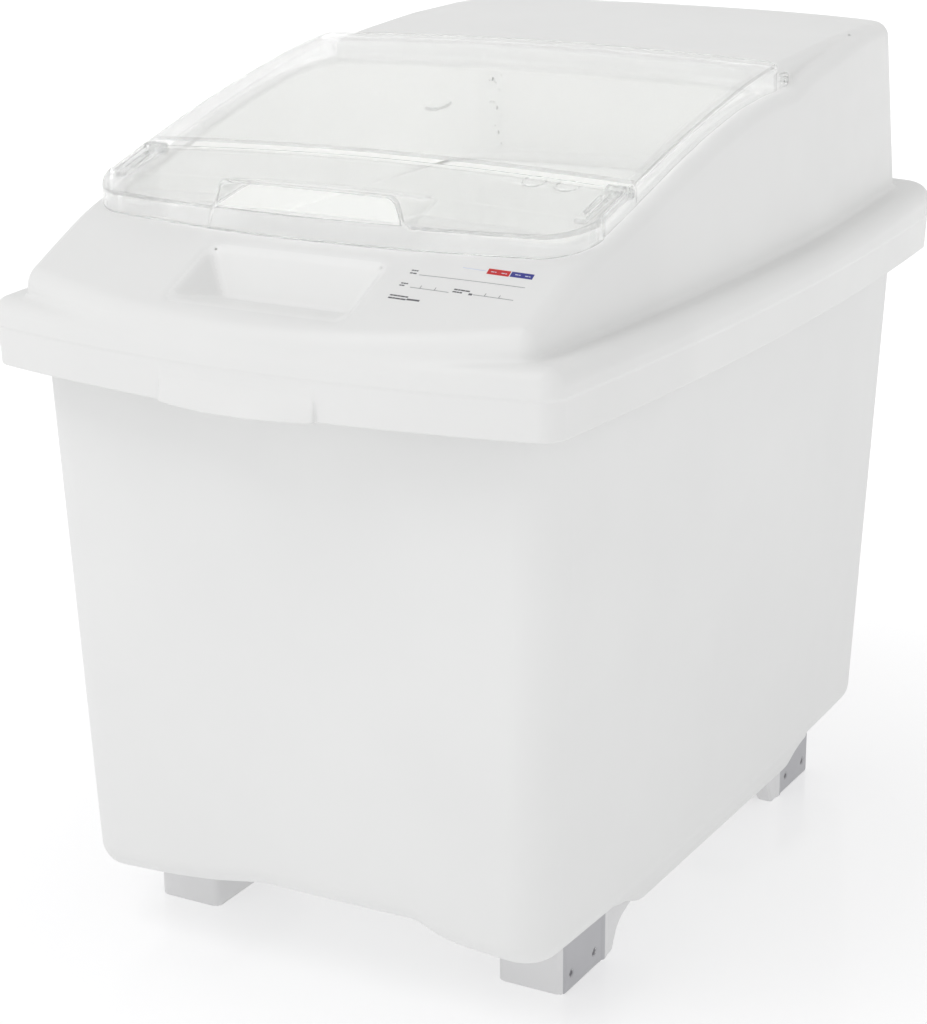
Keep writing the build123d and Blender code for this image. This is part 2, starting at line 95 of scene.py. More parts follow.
def surface(F, xs, ys, zs, relax=2, newton=4):
    """Quad mesh of F = 0 on a tensor grid, its points then drawn onto the exact surface."""
    V = np.empty((len(xs), len(ys), len(zs)), np.float32)
    Y, Z = np.meshgrid(ys, zs, indexing="ij")
    chunk = max(1, int(1.2e6 // (len(ys) * len(zs))))
    for i in range(0, len(xs), chunk):
        X = xs[i:i + chunk][:, None, None]
        V[i:i + chunk] = F(np.broadcast_to(X, (X.shape[0],) + Y.shape), np.broadcast_to(Y, (X.shape[0],) + Y.shape),
                           np.broadcast_to(Z, (X.shape[0],) + Y.shape))
    V[V == 0] = 1e-6
    ins = V < 0
    nx, ny, nz = V.shape
    cid = lambda i, j, k: (i * (ny - 1) + j) * (nz - 1) + k
    ax = (xs, ys, zs)
    cells, pts, quads = [], [], []
    for a in range(3):
        sl0 = [slice(None)] * 3; sl1 = [slice(None)] * 3
        sl0[a] = slice(0, -1); sl1[a] = slice(1, None)
        A, B = V[tuple(sl0)], V[tuple(sl1)]
        I = np.array(np.nonzero(ins[tuple(sl0)] != ins[tuple(sl1)]))
        va, vb = A[tuple(I)].astype(float), B[tuple(I)].astype(float)
        t = va / (va - vb)
        P = np.stack([ax[c][I[c]] for c in range(3)], 1).astype(float)
        P[:, a] += t * (ax[a][I[a] + 1] - ax[a][I[a]])
        b, c = (a + 1) % 3, (a + 2) % 3
        ring = []
        for db, dc in ((-1, -1), (0, -1), (0, 0), (-1, 0)):
            J = I.copy(); J[b] = J[b] + db; J[c] = J[c] + dc
            ok = (J[b] >= 0) & (J[c] >= 0) & (J[b] < V.shape[b] - 1) & (J[c] < V.shape[c] - 1)
            ring.append((cid(*J), ok))
            cells.append(cid(*J)[ok]); pts.append(P[ok])
        ok = ring[0][1] & ring[1][1] & ring[2][1] & ring[3][1]
        q = np.stack([k[0] for k in ring], 1)[ok]
        flip = (va > 0)[ok]
        q[flip] = q[flip][:, ::-1]
        quads.append(q)
    cells = np.concatenate(cells); pts = np.concatenate(pts); quads = np.concatenate(quads)
    ids, inv = np.unique(cells, return_inverse=True)
    cnt = np.bincount(inv).astype(float)
    P = np.stack([np.bincount(inv, weights=pts[:, c]) / cnt for c in range(3)], 1)
    Q = np.searchsorted(ids, quads)

    def grad(P):
        h = 0.02
        g = np.empty_like(P)
        for c in range(3):
            d = np.zeros(3); d[c] = h
            a_, b_ = P + d, P - d
            g[:, c] = (F(a_[:, 0], a_[:, 1], a_[:, 2]) - F(b_[:, 0], b_[:, 1], b_[:, 2])) / (2 * h)
        return g

    def settle(P, n):
        for _ in range(n):
            f = F(P[:, 0], P[:, 1], P[:, 2])
            g = grad(P)
            m = np.maximum((g * g).sum(1), 0.05)
            step = np.clip(f / m, -1.5, 1.5)
            P = P - g * step[:, None]
        return P

    P = settle(P, newton)
    E = np.concatenate([Q[:, [0, 1]], Q[:, [1, 2]], Q[:, [2, 3]], Q[:, [3, 0]]])
    for _ in range(relax):
        s = np.zeros_like(P)
        n = np.bincount(E[:, 0], minlength=len(P)) + np.bincount(E[:, 1], minlength=len(P))
        for c in range(3):
            s[:, c] = np.bincount(E[:, 0], weights=P[E[:, 1], c], minlength=len(P)) + \
                np.bincount(E[:, 1], weights=P[E[:, 0], c], minlength=len(P))
        d = s / np.maximum(n, 1)[:, None] - P
        g = grad(P); g /= np.maximum(np.linalg.norm(g, axis=1), 1e-9)[:, None]
        P = P + 0.6 * (d - g * (d * g).sum(1)[:, None])
        P = settle(P, 2)
    return P, Q, grad(P)


def mesh_from(name, P, Q, G=None, material=None):
    me = bpy.data.meshes.new(name)
    me.vertices.add(len(P)); me.loops.add(Q.size); me.polygons.add(len(Q))
    me.vertices.foreach_set("co", (P * 0.001).astype(np.float32).ravel())
    me.loops.foreach_set("vertex_index", Q.astype(np.int32).ravel())
    me.polygons.foreach_set("loop_start", (np.arange(len(Q)) * 4).astype(np.int32))
    me.update(calc_edges=True)
    me.validate()
    me.polygons.foreach_set("use_smooth", np.ones(len(me.polygons), bool))
    if G is not None and len(me.vertices) == len(P):
        g = G / np.maximum(np.linalg.norm(G, axis=1), 1e-9)[:, None]
        me.normals_split_custom_set_from_vertices(g.tolist())
    if material is not None:
        me.materials.append(material)
    ob = bpy.data.objects.new(name, me)
    scene.collection.objects.link(ob)
    return ob


def piece(name, node, body, F, xs, ys, zs, material, relax=2, newton=4, inner=None, shear=None):
    if shear is None:
        P, Q, G = surface(F, xs, ys, zs, relax, newton)
    else:                                      # grid that follows the slope of the panel
        P, Q, G = surface(lambda x, y, w: F(x, y, w + shear[0](y)), xs, ys, zs, relax, newton)
        G[:, 1] -= shear[1](P[:, 1]) * G[:, 2]
        P[:, 2] += shear[0](P[:, 1])
    ob = mesh_from(name, P, Q, G, material)
    if inner is not None:                      # the inner skin of a wall gets its own material; for the tub and hood that is a lighter one with painted glow
        outer, wall, mat2 = inner
        ob.data.materials.append(mat2)
        C = P[Q].mean(1)
        idx = (outer(C[:, 0], C[:, 1], C[:, 2]) < -0.6 * wall).astype(np.int32)
        if len(idx) == len(ob.data.polygons):
            ob.data.polygons.foreach_set("material_index", idx)
    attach(ob, body)
    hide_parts(node)
    print("piece", name, len(P), len(Q))
    return ob


def table(tab, sigma=10.0, lo=-420, hi=420):
    """Smooth profile through a table: fine resample, ends carried on straight, gaussian smoothing."""
    t = np.array(tab, float)
    y = np.arange(lo, hi + 0.5, 1.0)
    z = np.interp(y, t[:, 0], t[:, 1])
    z = np.where(y < t[0, 0], t[0, 1] + (y - t[0, 0]) * (t[1, 1] - t[0, 1]) / (t[1, 0] - t[0, 0]), z)
    z = np.where(y > t[-1, 0], t[-1, 1] + (y - t[-1, 0]) * (t[-1, 1] - t[-2, 1]) / (t[-1, 0] - t[-2, 0]), z)
    k = np.arange(-4 * sigma, 4 * sigma + 1)
    w = np.exp(-k * k / (2.0 * sigma * sigma)); w /= w.sum()
    n = len(k) // 2
    zz = np.concatenate([z[0] + (z[1] - z[0]) * np.arange(-n, 0), z, z[-1] + (z[-1] - z[-2]) * np.arange(1, n + 1)])
    s = np.convolve(zz, w, "valid")
    d = np.gradient(s, y)
    return (lambda v: np.interp(v, y, s)), (lambda v: np.interp(v, y, d))


def plan2d(x, y, hx, yf, yr, bs, bf, br, rf, rr):
    """Barrel outline: bowed sides, front and rear, corners rounded."""
    ym, hy = (yf + yr) / 2, (yr - yf) / 2
    side = np.abs(x) - (hx + bs * (1 - ((y - ym) / hy) ** 2))
    side = side / np.sqrt(1 + (2 * bs * (y - ym) / hy ** 2) ** 2)
    q = 1 - (x / hx) ** 2
    front = ((yf - bf * q) - y) / np.sqrt(1 + (2 * bf * np.minimum(np.abs(x), hx) / hx ** 2) ** 2)
    rear = (y - (yr + br * q)) / np.sqrt(1 + (2 * br * np.minimum(np.abs(x), hx) / hx ** 2) ** 2)
    return np.where(y < ym, rmax(side, front, rf), rmax(side, rear, rr))


def rrect(x, y, x1, y0, y1, r):
    return rmax(np.abs(x) - x1, np.maximum(y0 - y, y - y1), r)


# =====================================================================
# shared shape data of the hood and the cover
# =====================================================================
LEDGE = [(-335, 400.8), (-276, 427.1), (-240, 443.1), (-220, 451.6), (-205, 456.4),
         (-190, 460.4), (-169, 465.8), (-150, 470.9), (-120, 479.3), (-91, 487.3),
         (-50, 497.0), (-6, 505.2), (30, 508.4), (60, 509.0), (75, 509.6),
         (90, 514.5), (110, 517.8), (132, 520.3), (175, 525.6), (220, 529.0), (260, 528.5), (335, 520)]
PLATEAU = [(0, 517.0), (61, 522.0), (85, 524.2), (117, 526.7), (139, 528.4), (163, 530.1),
           (197, 530.9), (238, 530.6), (256, 529.2), (272, 526.5), (335, 512)]
LID_TOP = [(-330, 435.2), (-200, 472.2), (-180, 477.9), (-160, 483.6), (-140, 489.0), (-120, 494.5), (-100, 499.5),
           (-80, 504.2), (-60, 508.6), (-40, 512.8), (-20, 516.7), (0, 520.4), (20, 523.6),
           (40, 526.2), (60, 528.4), (90, 531.0)]
PANEL = [(-330, 440.0), (-240, 461.2), (-147, 483.0), (-90, 496.4)]
ledge_z, ledge_d = table(LEDGE, 7)
plat_z, plat_d = table(PLATEAU, 9)
lid_z, lid_d = table(LID_TOP, 9)
pan_z, pan_d = table(PANEL, 3)


def hood_crown(x): return 5.0 - 3.4 * np.abs(x / 160.0) ** 2.5
def lid_crown(x): return 4.5 - 4.2 * np.abs(x / 160.0) ** 1.9
def pan_crown(x): return 5.0 - 5.0 * np.abs(x / 160.0) ** 1.9


def hood_top(x, y, z):
    """Signed height over the hood's slope."""
    return (z - ledge_z(y) - hood_crown(x)) / np.sqrt(1 + ledge_d(y) ** 2)


def plateau_top(x, y, z):
    f = 1.0 - 1.4 * np.clip((y - 90.0) / 150.0, 0, 1)
    return (z - plat_z(y) - hood_crown(x) * f) / np.sqrt(1 + plat_d(y) ** 2)


# =====================================================================
# materials
# =====================================================================
def new_mat(name):
    m = bpy.data.materials.new(name)
    m.use_nodes = True
    nt = m.node_tree
    return m, nt, nt.nodes["Principled BSDF"]


def coords(nt):
    tc = nt.nodes.new("ShaderNodeTexCoord")
    return tc.outputs["Object"]


def noise(nt, co, scale, detail=3.0, rough=0.5):
    n = nt.nodes.new("ShaderNodeTexNoise")
    n.inputs["Scale"].default_value = scale
    n.inputs["Detail"].default_value = detail
    n.inputs["Roughness"].default_value = rough
    nt.links.new(co, n.inputs["Vector"])
    return n.outputs["Fac"]


def ramp(nt, fac, stops):
    n = nt.nodes.new("ShaderNodeValToRGB")
    e = n.color_ramp.elements
    e[0].position, e[0].color = stops[0][0], (*stops[0][1], 1)
    e[1].position, e[1].color = stops[-1][0], (*stops[-1][1], 1)
    for p, c in stops[1:-1]:
        k = e.new(p); k.color = (*c, 1)
    nt.links.new(fac, n.inputs["Fac"])
    return n.outputs["Color"]


def rng(nt, fac, a, b, lo=0.3, hi=0.7):
    n = nt.nodes.new("ShaderNodeMapRange")
    n.inputs["From Min"].default_value = lo; n.inputs["From Max"].default_value = hi
    n.inputs["To Min"].default_value = a; n.inputs["To Max"].default_value = b
    nt.links.new(fac, n.inputs["Value"])
    return n.outputs["Result"]


def bump(nt, b, height, strength, dist):
    n = nt.nodes.new("ShaderNodeBump")
    n.inputs["Strength"].default_value = strength
    n.inputs["Distance"].default_value = dist
    nt.links.new(height, n.inputs["Height"])
    nt.links.new(n.outputs["Normal"], b.inputs["Normal"])


def moulded(name, c0, c1, rough=(0.38, 0.46), grain=2600.0, grain_h=0.00002, strength=0.18, sss=0.0, radius=0.004, specular=0.4, through=0.0, glow=0.0):
    """Moulded plastic: faint cloudy colour variation, fine grain in gloss and relief."""
    m, nt, b = new_mat(name)
    co = coords(nt)
    cloud = noise(nt, co, 9.0, 3.0)
    nt.links.new(ramp(nt, cloud, [(0.3, c0), (0.7, c1)]), b.inputs["Base Color"])
    fine = noise(nt, co, grain, 2.0)
    mid = noise(nt, co, 60.0, 3.0)
    nt.links.new(rng(nt, mid, rough[0], rough[1]), b.inputs["Roughness"])
    bump(nt, b, fine, strength, grain_h)
    b.inputs["Specular IOR Level"].default_value = specular
    b.inputs["IOR"].default_value = 1.49
    if sss > 0:
        b.inputs["Subsurface Weight"].default_value = sss
        b.inputs["Subsurface Radius"].default_value = (1.0, 0.97, 0.93)
        b.inputs["Subsurface Scale"].default_value = radius
    if glow > 0:
        # painted glow: emission stands in for daylight that comes through the thin wall
        b.inputs["Emission Color"].default_value = (1.0, 1.0, 0.985, 1)
        b.inputs["Emission Strength"].default_value = glow
    if through > 0:
        # thin moulded wall: part of the light passes through
        tr = nt.nodes.new("ShaderNodeBsdfTranslucent")
        tr.inputs["Color"].default_value = (0.93, 0.93, 0.92, 1)
        mx = nt.nodes.new("ShaderNodeMixShader")
        mx.inputs["Fac"].default_value = through
        nt.links.new(b.outputs["BSDF"], mx.inputs[1])
        nt.links.new(tr.outputs["BSDF"], mx.inputs[2])
        nt.links.new(mx.outputs["Shader"], nt.nodes["Material Output"].inputs["Surface"])
    return m


M_TUB = moulded("tub_plastic", (0.830, 0.832, 0.830), (0.850, 0.853, 0.850), (0.42, 0.5), through=0.12)
M_HOOD = moulded("hood_plastic", (0.846, 0.848, 0.843), (0.866, 0.868, 0.863), (0.36, 0.44), through=0.12)
# inner skins of tub and hood: lighter colour and emission, painted glow standing in for light through the wall
M_TUB_IN_GLOW = moulded("tub_inner", (0.865, 0.87, 0.865), (0.885, 0.89, 0.885), (0.42, 0.5), glow=0.19)
M_HOOD_IN_GLOW = moulded("hood_inner", (0.87, 0.873, 0.868), (0.89, 0.893, 0.885), (0.36, 0.44), glow=0.19)
# hand recess: lighter colour and faint emission, painted glow
M_RECESS_GLOW = moulded("hood_recess_painted_glow", (0.86, 0.862, 0.857), (0.88, 0.882, 0.877), (0.36, 0.44), through=0.12, glow=0.022)
M_FOOT = moulded("foot_plastic", (0.72, 0.72, 0.725), (0.76, 0.76, 0.765), (0.45, 0.55), 1800.0, 0.00004, 0.3)
# outer side faces of the feet: darker lavender-grey, partly the feet's own tint and mostly painted shade
M_FOOT_SIDE_SHADE = moulded("foot_side_painted_shade", (0.44, 0.44, 0.46), (0.50, 0.50, 0.52), (0.4, 0.5), 1800.0, 0.00004, 0.3)
M_PIN = moulded("pin_plastic", (0.30, 0.30, 0.32), (0.36, 0.36, 0.38), (0.3, 0.4), 3000.0, 0.00002, 0.2)
M_DARKPIN = moulded("dark_pin", (0.13, 0.125, 0.14), (0.17, 0.165, 0.18), (0.35, 0.45), 3000.0, 0.00002, 0.2)
M_BLACK = moulded("print_black", (0.10, 0.10, 0.11), (0.14, 0.14, 0.15), (0.35, 0.45), 3500.0, 0.00001, 0.2)
M_RED = moulded("print_red", (0.50, 0.012, 0.015), (0.56, 0.02, 0.02), (0.35, 0.45), 3500.0, 0.00001, 0.2)
M_BLUE = moulded("print_blue", (0.02, 0.022, 0.22), (0.03, 0.035, 0.27), (0.35, 0.45), 3500.0, 0.00001, 0.2)

M_GREY = moulded("print_grey", (0.26, 0.26, 0.27), (0.31, 0.31, 0.32), (0.35, 0.45), 3500.0, 0.00001, 0.2)
M_PALE = moulded("print_pale", (0.62, 0.66, 0.78), (0.68, 0.71, 0.82), (0.35, 0.45), 3500.0, 0.00001, 0.2)

M_CLEAR, nt, b = new_mat("clear_plastic")
b.inputs["Base Color"].default_value = (0.985, 0.99, 0.985, 1)
b.inputs["Transmission Weight"].default_value = 1.0
b.inputs["IOR"].default_value = 1.42
b.inputs["Alpha"].default_value = 0.5
co = coords(nt)
nt.links.new(rng(nt, noise(nt, co, 40.0, 3.0), 0.015, 0.05), b.inputs["Roughness"])
bump(nt, b, noise(nt, co, 18.0, 2.0), 0.05, 0.0006)

# the flap is the same plastic with a deeper tint: painted shade standing in for the shadow it would cast on the hood,
# as the cover casts no shadow
M_FLAP_SHADE, nt, b = new_mat("clear_flap_painted_shade")
b.inputs["Base Color"].default_value = (0.915, 0.92, 0.915, 1)
b.inputs["Transmission Weight"].default_value = 1.0
b.inputs["IOR"].default_value = 1.42
b.inputs["Alpha"].default_value = 0.58
co = coords(nt)
nt.links.new(rng(nt, noise(nt, co, 40.0, 3.0), 0.015, 0.05), b.inputs["Roughness"])
bump(nt, b, noise(nt, co, 18.0, 2.0), 0.05, 0.0006)

M_CLEARPIN, nt, b = new_mat("clear_pin")
b.inputs["Base Color"].default_value = (0.86, 0.87, 0.87, 1)
b.inputs["Transmission Weight"].default_value = 1.0
b.inputs["IOR"].default_value = 1.42
b.inputs["Alpha"].default_value = 0.6
co = coords(nt)
nt.links.new(rng(nt, noise(nt, co, 90.0, 3.0), 0.05, 0.14), b.inputs["Roughness"])
bump(nt, b, noise(nt, co, 400.0, 2.0), 0.05, 0.0002)

for n, o in N.items():
    if n in ("left_flap_hinge_pin", "right_flap_hinge_pin", "left_rear_hinge_pin", "right_rear_hinge_pin"):
        o.visible_shadow = False
    o.data.materials.clear()
    m = (M_FLAP_SHADE if n == "front_flap" else M_CLEAR if n == "rear_window" else M_FOOT if n.endswith("foot") else
         M_DARKPIN if n.endswith("foot_pins") else M_CLEARPIN if n.endswith("pin") else M_RED if n.endswith("red") else
         M_BLUE if n.endswith("blue") else M_BLACK if n.endswith("lines") else M_TUB if n == "tub" else M_HOOD)
    o.data.materials.append(m)

# =====================================================================
# hood
# =====================================================================
WALL = 3.6


def hood_outer(x, y, z):
    # skirt: lower band a little inside the upper band, with draft
    inset = 0.75 * (1 - smooth((z - 394.4) / 2.8)) + 0.9 * np.clip((396 - z) / 23.6, 0, 1.2)
    sk = plan2d(x, y, 186.4 - inset, -284.9 + inset, 301.0 - inset, 13.6, 23.5, 18.6, 10.0, 22.0)
    zs = 413.0 + 3.5 * smooth((y - 60.0) / 220.0)
    sk = rmax(sk, z - zs, 11.5)
    # upper walls, drafted, under the slope
    d = (z - 413.0)
    up = plan2d(x, y, 167.0 - d * 0.0559, -276.5, 279.0 - d * 0.0629, 11.0, 30.8, 16.0, 7.0, 20.0)
    slope = hood_top(x, y, z)
    body = rmax(up, slope, 9.0)
    pl = rmax(np.maximum(np.abs(x) - 159.5, 61.0 - y), plateau_top(x, y, z), 5.0)
    pl = rmax(pl, up, 12.0)
    body = rmin(body, pl, 3.0)
    f = rmin(body, sk, 3.5)
    # pull lip, fading out upwards
    t = np.clip((391.0 - z) / 18.6, 0, 1.1) ** 1.35
    base = -284.4 - 23.5 * (1 - (x / 186.4) ** 2)
    ylip = base - (3.4 + 7.6 * np.clip(1 - (x / 51.0) ** 2, 0, 1)) * t
    lip = rmax(rmax((ylip - y) * 0.85, np.abs(x) - 51.0, 1.2), np.maximum(y + 296.0, z - 391.5), 1.0)
    f = rmin(f, lip, 1.0)
    # hand recess: wedge with drafted sides
    fb = ((y + 240.0) * 27.0 - (z - 447.5) * 13.0) / 29.97
    ff = (-(z - 420.5) * 35.0 - (y + 253.0) * 5.7) / 35.46
    fs = (np.abs(x) - 58.6 - 0.861 * slope) / 1.32
    rec = rmax(rmax(fb, ff, 2.5), fs, 4.0)
    return rmax(f, -rec, 3.6)


def hood_F(x, y, z):
    f = hood_outer(x, y, z)
    m = rrect(x, y, 153.0, -203.0, 50.0, 18.0)
    rim = rmax(m - 3.0, hood_top(x, y, z) - 1.5, 0.9)
    f = rmin(f, rmax(rim, -8.0 - hood_top(x, y, z), 0.5), 1.2)
    shell = rmax(f, -(f + WALL), 0.4)
    shell = rmax(shell, 372.4 - z, 1.2)
    return rmax(shell, -m, 0.9)


def recess_zone(x, y, z):
    return (np.abs(x) < 61.5) & (y < -236.0) & (y > -291.0) & (hood_top(x, y, z) < -0.8) & (z > 417.0)


hood = piece("hood_shell", "hood", "hood_body", hood_F,
             mirror_steps((0, 36, 4.0), (36, 66, 1.7), (66, 126, 3.4), (126, 203, 1.7)),
             steps((-324, -236, 1.7), (-236, -214, 3.0), (-214, -174, 1.9), (-174, 14, 4.2), (14, 72, 1.9), (72, 236, 4.2), (236, 323, 1.8)),
             steps((369.5, 377, 0.75), (377, 442, 1.5), (442, 540, 1.8)), M_HOOD, inner=(hood_outer, WALL, M_HOOD_IN_GLOW))

# the walls of the hand recess get a lighter colour and a little emission: painted glow standing in for daylight through
# their thin walls
hood.data.materials.append(M_RECESS_GLOW)
for p in hood.data.polygons:
    c = p.center * 1000.0
    if p.material_index == 0 and abs(p.normal.x) < 0.5 and recess_zone(c.x, c.y, c.z):
        p.material_index = 2

# painted shade: inside the front of the hood the glow is weaker, as the skirt and the tub's rim stand outside the wall
# there and less daylight comes in
M_HOOD_FRONT_DIM_GLOW = moulded("hood_inner_front_dim_glow", (0.865, 0.868, 0.863), (0.885, 0.888, 0.88), (0.36, 0.44), glow=0.10)
hood.data.materials.append(M_HOOD_FRONT_DIM_GLOW)
for p in hood.data.polygons:
    if p.material_index == 1 and p.center.y < -0.135:
        p.material_index = 3

# =====================================================================
# tub
# =====================================================================
_fx = np.arange(-220.0, 221.0)
_fz = np.interp(_fx, [-170, -150, -103, -77, -62, -43, -28, 74, 79, 90, 104, 125, 150, 172],
                [40, 41, 44.5, 47.5, 49.7, 53.6, 56, 56, 55, 49.5, 45.8, 43.5, 41.5, 40])
_k = np.exp(-np.arange(-9, 10) ** 2 / 18.0)
_fz = np.convolve(np.pad(_fz, 9, mode="edge"), _k / _k.sum(), "valid")


def floor_z(x):
    """Underside of the tub: raised between the two long lobes."""
    return np.interp(x, _fx, _fz)


def tub_outer(x, y, z):
    t = (z - 40.0) / 369.7
    b = 5.0 + 6.0 * t
    hx = 162.0 + (z - 75.0) * 10.2 / 270.0
    hy = 251.9 + (z - 75.0) * 9.3 / 270.0
    d = plan2d(x, y, hx, -hy, hy, b, b, b, 24.0, 24.0)
    zf = floor_z(x)
    low = (zf - z) * 0.86
    f = rmax(d, low, 13.0)
    return f


def tub_runner(x, y, z):
    """Low runner under each long side, fading into the floor near the feet."""
    zl = 31.5 + 11.0 * smooth((np.abs(y) - 112.0) / 34.0)
    f = rmax(rmax(np.abs(x) - 163.0, 143.0 - np.abs(x), 3.0), np.maximum(zl - z, z - 50.0), 7.5)
    return rmax(f, np.abs(y) - 150.0, 6.0)


def tub_F(x, y, z):
    f = tub_outer(x, y, z)
    solid = rmin(f, tub_runner(x, y, z), 5.0)
    rim = rmax(f - 6.0, np.abs(z - 408.2) - 1.5, 0.6)
    solid = rmin(rmax(solid, z - 409.7, 0.8), rim, 1.0)
    return rmax(solid, -(f + WALL), 0.6)


tub = piece("tub_shell", "tub", "bin", tub_F,
            mirror_steps((0, 70, 6.0), (70, 110, 2.4), (110, 138, 3.2), (138, 196, 1.9)),
            mirror_steps((0, 100, 7.0), (100, 154, 2.6), (154, 232, 5.0), (232, 284, 1.9)),
            steps((29, 78, 1.8), (78, 396, 12.0), (396, 412, 1.5)), M_TUB, inner=(tub_outer, WALL, M_TUB_IN_GLOW))

# =====================================================================
# feet
# =====================================================================
def foot_F(sx, sy):
    def F(x, y, z):
        a, c = x * sx, y * sy                     # a: 102..147 outwards, c: 136..195 outwards
        body = rmax(rmax(np.maximum(102.0 - a, a - 146.9), c - 195.5, 5.0), 136.5 - c, 2.5)
        # flare: sweeps up and inwards from the foot's inner end to the floor of the tub
        zc = 33.0 - 33.0 * np.clip((c - 100.0) / 27.5, 0, 1.3) ** 1.8
        grow = 6.0 * smooth((z - 10.0) / 26.0) * smooth((132.0 - c) / 22.0)
        fl = rmax(rmax((zc - z) * 0.6, np.maximum(102.0 - a, a - 146.9 - grow), 2.0), np.maximum(96.0 - c, c - 142.0), 1.0)
        f = rmin(body, fl, 3.0)
        f = rmax(f, np.maximum(-z, z - 44.0), 0.8)
        hol = rmax(np.maximum(105.0 - a, a - 143.9), np.maximum(139.5 - c, c - 192.5), 2.0)
        f = rmax(f, -rmax(hol, z - 30.4, 2.0), 0.6)
        arch = np.hypot(a - 130.45, z) - 6.5
        f = rmax(f, -np.maximum(arch, c - 150.0), 0.6)
        pin = np.minimum(np.hypot(c - 184.0, z - 10.5), np.hypot(c - 153.0, z - 10.5)) - 1.9
        return rmax(f, -np.maximum(pin, 139.0 - a), 0.25)
    return F


for sx, sy, nm in ((1, -1, "front_right"), (-1, -1, "front_left"), (1, 1, "rear_right"), (-1, 1, "rear_left")):
    xs = steps((99, 147, 1.5), (147, 166, 1.9)); ys = steps((93, 199, 1.5)); zs = steps((-2, 46, 1.5))
    if sx < 0: xs = -xs[::-1]
    if sy < 0: ys = -ys[::-1]
    ft = piece(nm + "_foot_shell", nm + "_foot", "bin", foot_F(sx, sy), xs, ys, zs, M_FOOT, relax=1)
    # outer side faces get the darker copy: painted shade
    ft.data.materials.append(M_FOOT_SIDE_SHADE)
    for p in ft.data.polygons:
        if p.normal.x * sx > 0.75 and p.center.x * sx > 0.1455 and abs(p.center.y) > 0.1405:
            p.material_index = 1

# =====================================================================
# clear cover
# =====================================================================
CL = 2.5
AXF, AZF = -153.5, 481.8                        # flap hinge
AXR, AZR = 66.0, 516.5                          # rear hinge


def lid_T(x, y, z): return (z - lid_z(y) - lid_crown(x)) / np.sqrt(1 + lid_d(y) ** 2)
def pan_T(x, y, z): return (z - pan_z(y) - pan_crown(x)) / np.sqrt(1 + pan_d(y) ** 2)
def cover_plan(x, y): return plan2d(x, y, 165.6, -214.5, 58.0, 0.0, 19.0, 0.0, 27.0, 8.0)


def window_F(x, y, z):
    T, P = lid_T(x, y, z), cover_plan(x, y)
    ax = np.abs(x)
    body = rmax(P, T, 2.6)
    f = rmax(body, -(body + CL), 0.7)
    f = rmax(f, 1.0 - hood_top(x, y, z), 0.8)
    # moulding mark left in the middle of the panel
    f = rmin(f, rmax(rmax(np.hypot(x + 1.0, (y + 78.0) * 0.8) - 6.2, T - 0.22, 0.4), -T - 1.0, 0.2), 2.0)
    # across the rear only a short lip is turned down
    f = rmax(f, -np.maximum(np.maximum(ax - 163.1, 40.0 - y), T + 4.0), 0.6)
    # rear ears
    ear = np.hypot(y - AXR, z - AZR) - 4.6
    link = np.maximum(np.maximum(49.0 - y, y - AXR), np.abs(z - AZR) - 4.6)
    ear = rmax(np.minimum(ear, link), np.maximum(163.1 - ax, ax - 165.6), 0.6)
    f = rmin(f, ear, 0.6)
    # front edge of the panel, the skirts run on beside the flap
    R = rmin(-146.5 - y, rmax(163.1 - ax, -188.5 - y, 0.4), 2.0)
    f = rmax(f, R, 1.0)
    pin = np.minimum(np.hypot(y - AXR, z - AZR) - 2.06, np.hypot(y - AXF, z - AZF) - 2.56)
    return rmax(f, -np.maximum(pin, 160.0 - ax), 0.2)


win = piece("rear_window_sheet", "rear_window", "cover", window_F,
      mirror_steps((0, 10, 1.25), (10, 156, 4.0), (156, 168, 0.75)), steps((-191, -142, 1.0), (-142, -86, 3.6), (-86, -70, 1.25), (-70, 44, 3.6), (44, 72, 0.9)),
      steps((-21, 8, 0.8)), M_CLEAR, shear=(lid_z, lid_d))


